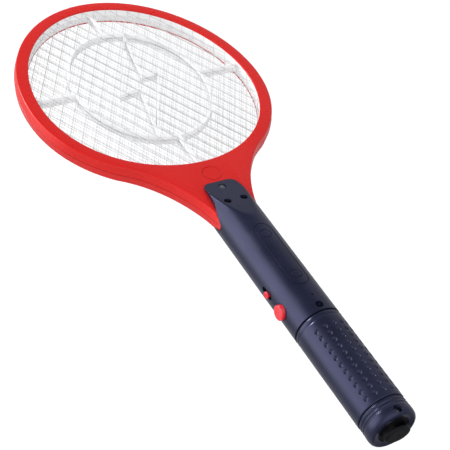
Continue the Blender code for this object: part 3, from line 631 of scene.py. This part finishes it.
def build_head():
    publish(head_ring("front_ring", 1), "handle", "red_plastic", "head_front_ring")
    publish(head_ring("back_ring", -1), "handle", "red_plastic", "head_back_ring")
    publish(spacer("front_spacer", SPACER_LOW.z, SPACER_HIGH.z), "handle", "white_plastic", "spacer_front")
    publish(spacer("back_spacer", SPACER_BACK_LOW.z, SPACER_BACK_HIGH.z), "handle", "white_plastic",
            "spacer_back")
    for name, node, radius, shift, pitch in (
            ("front_grid", "outer_grid_front", OUTER_WIRE_RADIUS, 0.0, GRID_PITCH),
            ("middle_grid", "center_grid", MIDDLE_WIRE_RADIUS, 0.5, GRID_PITCH / 3),
            ("back_grid", "outer_grid_back", OUTER_WIRE_RADIUS, 0.25, GRID_PITCH)):
        low, high = box_mm(node)
        publish(wire_grid(name, (low.z + high.z) / 2, radius, shift, pitch), "handle", "grid_steel", node)


# ---------------------------------------------------------------- handle shells

def pad_height(y):
    return PAD_AT_TIP + PAD_SLOPE * (TONGUE_TIP - y)


def soft_minimum(a, b, reach):
    """Smaller of two values, blended over a reach so that the crease is a small fillet."""
    gap = max(reach - abs(a - b), 0.0) / reach
    return min(a, b) - gap * gap * reach / 4


def shell_surface(name, side, inset):
    """Half tube whose outside is the barrel, cut by the sloping pad of the tongue."""
    arcs = 88
    steps = 64
    pad_start = TONGUE_TIP + (PAD_AT_TIP - HANDLE_RADIUS) / PAD_SLOPE - 4.0
    pad_end = TONGUE_TIP + 3.0
    stations = [HANDLE_LOW] + [pad_start + (pad_end - pad_start) * i / steps for i in range(steps + 1)]
    work = bmesh.new()
    sections = []
    for y in stations:
        section = []
        for shrink in (0.0, inset):
            row = []
            for i in range(arcs + 1):
                angle = -math.pi / 2 + math.pi * i / arcs
                reach = HANDLE_RADIUS - shrink
                flat = (pad_height(y) - shrink) / max(math.cos(angle), 1e-4)
                radius = soft_minimum(reach, flat, 0.5)
                x = radius * math.sin(angle)
                z = max(radius * math.cos(angle), 0.0)
                row.append(work.verts.new((x * MM, y * MM, side * (z + PARTING_GAP) * MM)))
            section.append(row)
        sections.append(section)
    for near, far in zip(sections, sections[1:]):
        for layer in (0, 1):
            for i in range(arcs):
                work.faces.new((near[layer][i], near[layer][i + 1], far[layer][i + 1], far[layer][i]))
        for i in (0, arcs):
            work.faces.new((near[0][i], far[0][i], far[1][i], near[1][i]))
    for section in (sections[0], sections[-1]):
        for i in range(arcs):
            work.faces.new((section[0][i], section[0][i + 1], section[1][i + 1], section[1][i]))
    return to_piece(name, work)


def stadium(centre_y, half_length, half_width, steps=16):
    loop = []
    for end, start in ((1, -math.pi / 2), (-1, math.pi / 2)):
        for i in range(steps + 1):
            angle = start + math.pi * i / steps
            loop.append((half_width * math.sin(angle),
                         centre_y + end * (half_length - half_width) + half_width * math.cos(angle)))
    return loop


NECK_SCREW_NODES = ("neck_screw_1", "neck_screw_2", "neck_screw_3")
SCREW_HEAD_HEIGHT = 1.2
PANEL_LOW_Y = HANDLE_LOW + 23.7
PANEL_HIGH_Y = HANDLE_LOW + 83.7
PANEL_HALF_WIDTH = 7.1
PANEL_GROOVE_WIDTH = 0.7
PANEL_GROOVE_DEPTH = 0.6
PANEL_RING_OUTER = 3.9
PANEL_RING_INNER = 3.45
PANEL_RING_DEPTH = 0.65
PANEL_RING_FROM_END = 10.0
SCREW_HEAD_ROOM = 2.75
SCREW_SHANK_ROOM = 1.65


def screw_spot(node):
    """Axis and seat of a screw."""
    low, high = box_mm(node)
    return (low.x + high.x) / 2, (low.y + high.y) / 2, high.z - SCREW_HEAD_HEIGHT


def handle_shell(name, side):
    shell = shell_surface(name, side, SHELL_WALL)
    outline = list(TONGUE_OUTLINE) + [(-x, y) for x, y in reversed(TONGUE_OUTLINE)]
    heights = sorted((side * 0.05, side * 19.0))
    keep_inside(shell, prism("plan", [outline], *heights))
    far = TONGUE_TIP + 8.0
    neck = [(NECK_END, -side), (NECK_END, side * SKIRT_START[1]), (SKIRT_END[0], side * NECK_SURFACE),
            (far, side * NECK_SURFACE), (far, -side)]
    cut(shell, prism_across("neck_room", neck, -PAST_THE_SIDE, PAST_THE_SIDE))
    spots = [screw_spot(node) for node in NECK_SCREW_NODES]
    x, y, seat = screw_spot("shell_screw")
    for spot_x, spot_y, spot_seat in spots:
        top = min(pad_height(spot_y) - 0.5, spot_seat + 0.6)
        boss = sorted((side * NECK_SURFACE, side * top))
        fuse(shell, cylinder_tool("boss", NECK_BOSS_RADIUS, (spot_x, spot_y, boss[0]),
                                  (spot_x, spot_y, boss[1])))
    boss = sorted((side * 0.3, side * (HANDLE_RADIUS - 0.8)))
    fuse(shell, cylinder_tool("shell_boss", SHELL_BOSS_RADIUS, (x, y, boss[0]), (x, y, boss[1])))
    slot = stadium(KNOB_Y, (SLOT_HIGH - SLOT_LOW) / 2, SLOT_HALF_WIDTH)
    middle = (SLOT_LOW + SLOT_HIGH) / 2 - KNOB_Y
    cut(shell, prism_across("slide_slot", [(a + middle, b) for b, a in slot], -20.0, -12.0))
    cut(shell, cylinder_tool("button_hole", BUTTON_RADIUS + 0.35, (-20, BUTTON_Y, 0), (-11, BUTTON_Y, 0)))
    if side > 0:
        for spot_x, spot_y, spot_seat in spots + [(x, y, seat)]:
            cut(shell, cylinder_tool("head_room", SCREW_HEAD_ROOM, (spot_x, spot_y, spot_seat - 0.05),
                                     (spot_x, spot_y, 21.0)))
            cut(shell, cylinder_tool("shank_room", SCREW_SHANK_ROOM, (spot_x, spot_y, 0.0),
                                     (spot_x, spot_y, spot_seat + 1.0), 24))
        centre = (PANEL_LOW_Y + PANEL_HIGH_Y) / 2
        half = (PANEL_HIGH_Y - PANEL_LOW_Y) / 2
        inner_half = half - PANEL_GROOVE_WIDTH
        groove = prism("panel_groove", [stadium(centre, half, PANEL_HALF_WIDTH),
                                        stadium(centre, inner_half, PANEL_HALF_WIDTH - PANEL_GROOVE_WIDTH)],
                       13.0, 19.0)
        cut(groove, cylinder_tool("groove_floor", HANDLE_RADIUS - PANEL_GROOVE_DEPTH,
                                  (0, PANEL_LOW_Y - 5, PARTING_GAP),
                                  (0, PANEL_HIGH_Y + 5, PARTING_GAP), 128))
        cut(shell, groove)
        for ring_y in (PANEL_LOW_Y + PANEL_RING_FROM_END, PANEL_HIGH_Y - PANEL_RING_FROM_END):
            ring = cylinder_tool("panel_ring", PANEL_RING_OUTER,
                                 (0, ring_y, HANDLE_RADIUS - PANEL_RING_DEPTH), (0, ring_y, 19.0))
            cut(ring, cylinder_tool("panel_ring_core", PANEL_RING_INNER,
                                    (0, ring_y, 12.0), (0, ring_y, 20.0)))
            cut(shell, ring)
        cut(shell, cylinder_tool("led_hole", 0.8, (0, LED_Y, 10.0), (0, LED_Y, 21.0), 24))
    return settle(shell, NAVY)


# ---------------------------------------------------------------- screws and controls

THREAD_PITCH = 0.7
THREAD_RADIUS = 1.3
THREAD_CORE = 1.05
CROSS_HALF_LENGTH = 1.5
CROSS_HALF_WIDTH = 0.3


def screw_piece(name, node, body):
    """Pan-head screw with a cross recess and a threaded shank."""
    x, y, seat = screw_spot(node)
    low = box_mm(node)[0]
    head = [(2.4, 0.0), (2.4, 0.2), (2.25, 0.55), (1.8, 0.9), (1.1, 1.12), (0.0, SCREW_HEAD_HEIGHT)]
    thread = [(0.0, low.z - seat)]
    turns = int((seat - low.z - 1.6) / THREAD_PITCH)
    for i in range(turns):
        base = low.z - seat + 0.8 + THREAD_PITCH * i
        thread += [(THREAD_CORE, base), (THREAD_RADIUS, base + THREAD_PITCH / 2)]
    thread += [(THREAD_CORE, -0.4), (THREAD_RADIUS, 0.0)]
    screw = turned(name, thread + head, (x, y, seat), (0, 0, 1), None, 32)
    long, thin = CROSS_HALF_LENGTH, CROSS_HALF_WIDTH
    cross = box_tool("cross_a", (x - long, y - thin, seat + 0.3), (x + long, y + thin, seat + 2))
    fuse(cross, box_tool("cross_b", (x - thin, y - long, seat + 0.3), (x + thin, y + long, seat + 2.1)))
    cut(screw, cross)
    publish(settle(screw, SCREW_STEEL), body, "screw_steel", node)


def build_controls():
    proud = -BUTTON_LOW.x
    radius = BUTTON_RADIUS
    profile = [(0.0, proud - 0.35), (radius * 0.45, proud - 0.2), (radius * 0.72, proud),
               (radius - 0.1, proud - 0.25), (radius, proud - 1.1), (radius, 13.0),
               (radius + BUTTON_FLANGE, 13.0), (radius + BUTTON_FLANGE, 12.0), (0.0, 12.0)]
    button = turned("button", rounded(profile, 0.5), (0, BUTTON_Y, 0), (-1, 0, 0), BUTTON_RED)
    publish(button, "button", "red_button", "push_button")
    outer = -KNOB_LOW.x
    profile = [(0.0, outer), (1.9, outer), (2.5, outer - 0.35), (2.5, outer - 1.6), (1.7, outer - 1.7),
               (1.7, -KNOB_HIGH.x), (0.0, -KNOB_HIGH.x)]
    knob = turned("slide_knob_cap", rounded(profile, 0.35), (0, KNOB_Y, 0), (-1, 0, 0), BUTTON_RED, 64)
    for number in (-1, 0, 1):
        rib = box_tool("rib_%d" % number, (-outer - 1.0, KNOB_Y + number * 1.1 - 0.2, -2.0),
                       (-outer + 0.3, KNOB_Y + number * 1.1 + 0.2, 2.0))
        cut(knob, rib)
    publish(settle(knob, BUTTON_RED), "slide_knob", "red_button", "slide_switch_knob")
    for number, node in enumerate(NECK_SCREW_NODES):
        screw_piece("neck_screw_piece_%d" % (number + 1), node, "handle")
    screw_piece("shell_screw_piece", "shell_screw", "handle")
    screw_piece("cap_screw_piece", "end_cap_screw", "cap")


# ---------------------------------------------------------------- grip barrel and end cap

def dimple_tool():
    """Shallow domes, one for each dimple, floating just through the surface of the barrel."""
    work = bmesh.new()
    middle = (GRIP_LOW + GRIP_HIGH) / 2 - 3.5
    sides, rings = 20, 5
    section = [(DIMPLE_RADIUS * k / rings, DIMPLE_DEPTH * (k / rings) ** DIMPLE_STEEPNESS)
               for k in range(1, rings + 1)]
    section.append((DIMPLE_RADIUS * 1.06, DIMPLE_DEPTH + 1.2))
    for facing in (0.0, 180.0):
        for row in DIMPLE_ROWS:
            for number in range(DIMPLE_COUNT):
                y = middle + (number - (DIMPLE_COUNT - 1) / 2) * DIMPLE_PITCH
                turn = Matrix.Rotation(math.radians(row + facing), 4, "Y")
                turn = turn @ Matrix.Translation((0.0, y * MM, (HANDLE_RADIUS - DIMPLE_DEPTH) * MM))
                loops = []
                for out, up in section:
                    loop = []
                    for i in range(sides):
                        angle = 2 * math.pi * i / sides
                        point = Vector((out * math.cos(angle), out * math.sin(angle), up)) * MM
                        loop.append(work.verts.new(turn @ point))
                    loops.append(loop)
                work.faces.new(loops[0])
                work.faces.new(loops[-1])
                for inner, outer in zip(loops, loops[1:]):
                    for i in range(sides):
                        j = (i + 1) % sides
                        work.faces.new((inner[i], inner[j], outer[j], outer[i]))
    return to_piece("dimples", work)


SPIGOT_RADIUS = 15.1
COLLAR_RADIUS = 14.9
CELL_SLOT_RADIUS = 7.35
CELL_SLOT_OFFSET = 7.2
BORE_RADIUS = 15.0
MOUTH_RADIUS = 13.2


def grip_barrel():
    """Dimpled battery tube with a rounded glossy shoulder and a keyed spigot for the cap."""
    spigot_low = BARREL_LOW.y
    radius = HANDLE_RADIUS
    outside = [(0.0, BARREL_HIGH.y), (COLLAR_RADIUS, BARREL_HIGH.y), (COLLAR_RADIUS, GRIP_HIGH),
               (15.6, GRIP_HIGH),
               (16.5, GRIP_HIGH - 0.35), (radius, GRIP_HIGH - 1.7), (radius + 0.05, GRIP_HIGH - 3.2),
               (radius - 0.25, GRIP_HIGH - 4.6), (radius, GRIP_HIGH - 5.4), (radius, GRIP_LOW + 0.4),
               (radius - 0.4, GRIP_LOW), (SPIGOT_RADIUS, GRIP_LOW), (SPIGOT_RADIUS, spigot_low),
               (0.0, spigot_low)]
    barrel = turned("barrel", rounded(outside, 0.6), (0, 0, 0), (0, 1, 0), None, 128)
    cut(barrel, dimple_tool())
    slot = []
    for direction, start in ((1, 0.0), (-1, math.pi)):
        for i in range(25):
            angle = start + math.pi * i / 24
            slot.append((direction * CELL_SLOT_OFFSET + CELL_SLOT_RADIUS * math.sin(angle),
                         CELL_SLOT_RADIUS * math.cos(angle)))
    bore_low, bore_high = GRIP_LOW + 4.0, GRIP_HIGH - 3.0
    cut(barrel, cylinder_tool("bore", BORE_RADIUS, (0, bore_low, 0), (0, bore_high, 0), 96))
    cut(barrel, cylinder_tool("mouth", MOUTH_RADIUS, (0, bore_high - 1.0, 0), (0, GRIP_HIGH + 10.0, 0), 64))
    cut(barrel, prism("battery_slot", [slot], spigot_low - 2.0, bore_low + 1.0, lengthwise=True))
    x, y = screw_spot("shell_screw")[:2]
    cut(barrel, cylinder_tool("boss_hole", BOSS_HOLE_RADIUS, (x, y, -16), (x, y, 16)))
    x, y = screw_spot("end_cap_screw")[:2]
    cut(barrel, box_tool("key_groove", (-4.7, spigot_low - 3, 11.4), (4.7, y + 4.7, 18.0)))
    cut(barrel, box_tool("screw_slot", (-1.7, spigot_low - 3, 5.0), (1.7, y + 2.2, 14.0)))
    return settle(barrel, NAVY)


STRAP_BAR_WIDTH = 9.8
STRAP_BAR_FLATTENING = 0.72
RECESS_DEPTH_FROM_TOP = 12.7
RECESS_INSET = 5.9
CAP_CAVITY_RADIUS = 15.4
KEY_BOSS_RADIUS = 4.2


def strap_bar(floor, butt):
    """Oval block with rolled edges, pierced along Z for a wrist strap."""
    profile = [(0.0, floor + 0.6), (STRAP_BAR_WIDTH, floor + 0.6)]
    for i in range(9):
        angle = math.pi / 2 * i / 8
        profile.append((STRAP_BAR_WIDTH - 1.7 * (1 - math.cos(angle)), butt + 1.7 * (1 - math.sin(angle))))
    profile += [(4.0, butt + 0.06), (1.3, butt + 0.1), (0.9, butt + 0.7), (0.0, butt + 0.75)]
    bar = turned("strap_bar", profile, (0, 0, 0), (0, 1, 0), None, 96)
    bar.data.transform(Matrix.Diagonal((1.0, 1.0, STRAP_BAR_FLATTENING, 1.0)))
    return cut(bar, box_tool("strap_opening", (-5.6, butt + 2.0, -9.0), (5.6, floor - 0.1, 9.0)))


def end_cap():
    """Cap with two polished ridges and a rolled end whose recess holds the strap bar."""
    top = CAP_HIGH.y
    recess_floor = top - RECESS_DEPTH_FROM_TOP
    radius = HANDLE_RADIUS
    outside = [(0.0, top), (16.0, top), (16.3, top - 0.3), (16.3, top - 1.1), (16.75, top - 1.6),
               (16.75, top - 2.4), (16.2, top - 2.9), (16.2, top - 3.6), (16.8, top - 4.2),
               (16.8, top - 5.0), (16.35, top - 5.5), (16.45, top - 6.1), (radius, top - 7.0),
               (radius, top - 10.5), (radius - 0.3, top - 12.3), (radius - 1.0, top - 13.5),
               (radius - 2.2, top - 14.2), (radius - 5.4, top - 13.8), (radius - RECESS_INSET, top - 13.4),
               (radius - 6.0, recess_floor), (0.0, recess_floor)]
    cap = turned("cap_shell", rounded(outside, 0.45), (0, 0, 0), (0, 1, 0), None, 128)
    fuse(cap, strap_bar(recess_floor, CAP_LOW.y))
    x, y, seat = screw_spot("end_cap_screw")
    cavity = cylinder_tool("cavity", CAP_CAVITY_RADIUS, (0, top - 11.2, 0), (0, top + 4.0, 0), 96)
    cut(cavity, cylinder_tool("key_boss", KEY_BOSS_RADIUS, (x, y, 11.8), (x, y, 20.0)))
    cut(cap, cavity)
    cut(cap, cylinder_tool("screw_head_room", SCREW_HEAD_ROOM, (x, y, seat - 0.05), (x, y, 20.0)))
    cut(cap, cylinder_tool("screw_room", SCREW_SHANK_ROOM, (x, y, seat - 5.0), (x, y, seat + 0.5), 24))
    settle(cap, NAVY)
    # Painted shade: faces of the recess floor and the strap bar get the near-black material, in place of
    # the shade that falls in the recess.
    cap.data.materials.append(RECESS_PAINTED_SHADE)
    for face in cap.data.polygons:
        out = math.hypot(face.center.x, face.center.z) / MM
        if out < radius - RECESS_INSET and face.center.y / MM < recess_floor + 0.3:
            face.material_index = 1
    return cap


def build_handle():
    publish(handle_shell("front_shell", 1), "handle", "navy_plastic", "handle_front_shell")
    publish(handle_shell("back_shell", -1), "handle", "navy_plastic", "handle_back_shell")
    publish(grip_barrel(), "handle", "navy_plastic", "grip_barrel")
    publish(end_cap(), "cap", "navy_plastic", "end_cap")


# ---------------------------------------------------------------- pieces kept from the frame

KEPT = {
    "indicator_led": LENS, "slide_switch_body": SCREW_STEEL, "button_switch_body": BLACK,
    "button_switch_plunger": BLACK, "circuit_board": BOARD, "transformer_core": FERRITE,
    "transformer_coil": COPPER, "hv_capacitor": FILM, "smoothing_capacitor": BLACK,
    "oscillator_transistor": BLACK, "rectifier_diode_1": BLACK, "rectifier_diode_2": BLACK,
    "rectifier_diode_3": BLACK, "bleed_resistor": TAN, "base_resistor": TAN, "led_resistor": TAN,
    "front_grid_lead": LEAD_BLACK, "center_grid_lead": LEAD_RED, "back_grid_lead": LEAD_BLACK,
    "battery_lead_positive": LEAD_RED, "battery_lead_negative": LEAD_BLACK,
    "battery_contact_carrier": BLACK, "contact_plate_positive": NICKEL,
    "contact_plate_negative": NICKEL, "contact_spring_upper": NICKEL, "battery_1": BATTERY,
    "battery_2": BATTERY, "battery_bridge_plate": NICKEL, "contact_spring_lower": NICKEL,
}


def dress_kept_nodes():
    for node, material in KEPT.items():
        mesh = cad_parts[node].data
        mesh.materials.clear()
        mesh.materials.append(material)
        mesh.shade_smooth()
        mesh.set_sharp_from_angle(angle=math.radians(35.0))


# ---------------------------------------------------------------- stage

def pale_surface():
    material, nodes, links, shader = shader_material("pale_floor", 0.7)
    tone = noise(nodes, links, 3.0)
    links.new(ramp(nodes, links, tone, (0.96, 0.96, 0.96), (0.98, 0.98, 0.98)), shader.inputs["Base Color"])
    shader.inputs["Emission Color"].default_value = (1.0, 1.0, 1.0, 1.0)
    shader.inputs["Emission Strength"].default_value = 0.05
    return material


def area_light(name, position, target, size, power):
    data = bpy.data.lights.new(name, "AREA")
    data.shape = "RECTANGLE"
    data.size, data.size_y = size
    data.energy = power
    lamp = bpy.data.objects.new(name, data)
    bpy.context.scene.collection.objects.link(lamp)
    lamp.location = position
    lamp.rotation_euler = (Vector(target) - Vector(position)).to_track_quat("-Z", "Y").to_euler()


FLOOR_DROP = 0.35
FLOOR_HALF_SIZE = 6.0
KEY_POSITION = (-0.64, 1.35, 0.56)
KEY_TARGET = (0.0, 0.24, 0.0)
KEY_SIZE = (0.2, 0.26)
KEY_POWER = 9.0
STUDIO_LEVEL = 0.5
DARKEST_STUDIO = 0.02
# Each card: direction from the object, width on the unit sphere, strength added at its middle.
STUDIO_CARDS = (
    ((-0.15, -0.60, 0.78), 1.05, 1.15),
    ((-0.84, 0.53, 0.12), 0.75, 3.0),
    ((-0.05, 0.62, 0.78), 0.75, -0.4),
    ((0.25, -0.75, -0.60), 0.90, -0.45),
)


def studio_world():
    """White to the camera; a soft studio with bright and dark cards to everything else."""
    world = bpy.data.worlds.new("studio")
    world.use_nodes = True
    nodes = world.node_tree.nodes
    links = world.node_tree.links
    seen = nodes["Background"]
    seen.inputs["Color"].default_value = (1.0, 1.0, 1.0, 1.0)
    lit = nodes.new("ShaderNodeBackground")
    lit.inputs["Color"].default_value = (0.97, 0.98, 1.0, 1.0)
    where = nodes.new("ShaderNodeTexCoord")
    level = nodes.new("ShaderNodeValue")
    level.outputs[0].default_value = STUDIO_LEVEL
    total = level.outputs[0]
    for direction, width, strength in STUDIO_CARDS:
        gap = nodes.new("ShaderNodeVectorMath")
        gap.operation = "DISTANCE"
        gap.inputs[1].default_value = Vector(direction).normalized()
        links.new(where.outputs["Generated"], gap.inputs[0])
        card = nodes.new("ShaderNodeMapRange")
        card.interpolation_type = "SMOOTHSTEP"
        card.inputs["From Min"].default_value = width * 0.25
        card.inputs["From Max"].default_value = width
        card.inputs["To Min"].default_value = strength
        card.inputs["To Max"].default_value = 0.0
        links.new(gap.outputs["Value"], card.inputs["Value"])
        add = nodes.new("ShaderNodeMath")
        add.operation = "ADD"
        links.new(total, add.inputs[0])
        links.new(card.outputs["Result"], add.inputs[1])
        total = add.outputs[0]
    bottom = nodes.new("ShaderNodeMath")
    bottom.operation = "MAXIMUM"
    bottom.inputs[1].default_value = DARKEST_STUDIO
    links.new(total, bottom.inputs[0])
    links.new(bottom.outputs[0], lit.inputs["Strength"])
    ray = nodes.new("ShaderNodeLightPath")
    choose = nodes.new("ShaderNodeMixShader")
    links.new(ray.outputs["Is Camera Ray"], choose.inputs["Fac"])
    links.new(lit.outputs["Background"], choose.inputs[1])
    links.new(seen.outputs["Background"], choose.inputs[2])
    links.new(choose.outputs["Shader"], nodes["World Output"].inputs["Surface"])
    return world


def build_stage():
    work = bmesh.new()
    bmesh.ops.create_grid(work, x_segments=8, y_segments=8, size=FLOOR_HALF_SIZE,
                          matrix=Matrix.Translation((0.0, 0.0, -FLOOR_DROP)))
    floor = to_piece("floor", work, pale_surface())
    floor.visible_glossy = False
    bpy.context.scene.world = studio_world()
    area_light("key_softbox", KEY_POSITION, KEY_TARGET, KEY_SIZE, KEY_POWER)


CAMERA_AZIMUTH = math.radians(-37.526)
CAMERA_ELEVATION = math.radians(41.978)
CAMERA_ROLL = math.radians(-12.911)
CAMERA_FOCAL_LENGTH = 102.6
CAMERA_FROM_HEAD = (-413.4, -679.8, 593.2)


def build_camera():
    back = Vector((math.sin(CAMERA_AZIMUTH) * math.cos(CAMERA_ELEVATION),
                   -math.cos(CAMERA_AZIMUTH) * math.cos(CAMERA_ELEVATION),
                   math.sin(CAMERA_ELEVATION)))
    level_right = (-back).cross(Vector((0.0, 0.0, 1.0))).normalized()
    level_down = (-back).cross(level_right)
    right = math.cos(CAMERA_ROLL) * level_right + math.sin(CAMERA_ROLL) * level_down
    down = -math.sin(CAMERA_ROLL) * level_right + math.cos(CAMERA_ROLL) * level_down
    data = bpy.data.cameras.new("camera")
    data.lens = CAMERA_FOCAL_LENGTH
    data.sensor_width = 36.0
    data.clip_start = 0.01
    camera = bpy.data.objects.new("camera", data)
    bpy.context.scene.collection.objects.link(camera)
    turn = Matrix((right, -down, back)).transposed().to_4x4()
    place = Vector(CAMERA_FROM_HEAD) + Vector((0.0, HEAD_Y, 0.0))
    camera.matrix_world = Matrix.Translation(place * MM) @ turn
    bpy.context.scene.camera = camera


build_head()
build_handle()
build_controls()
dress_kept_nodes()
build_stage()
build_camera()
bpy.context.scene.view_settings.view_transform = "Standard"
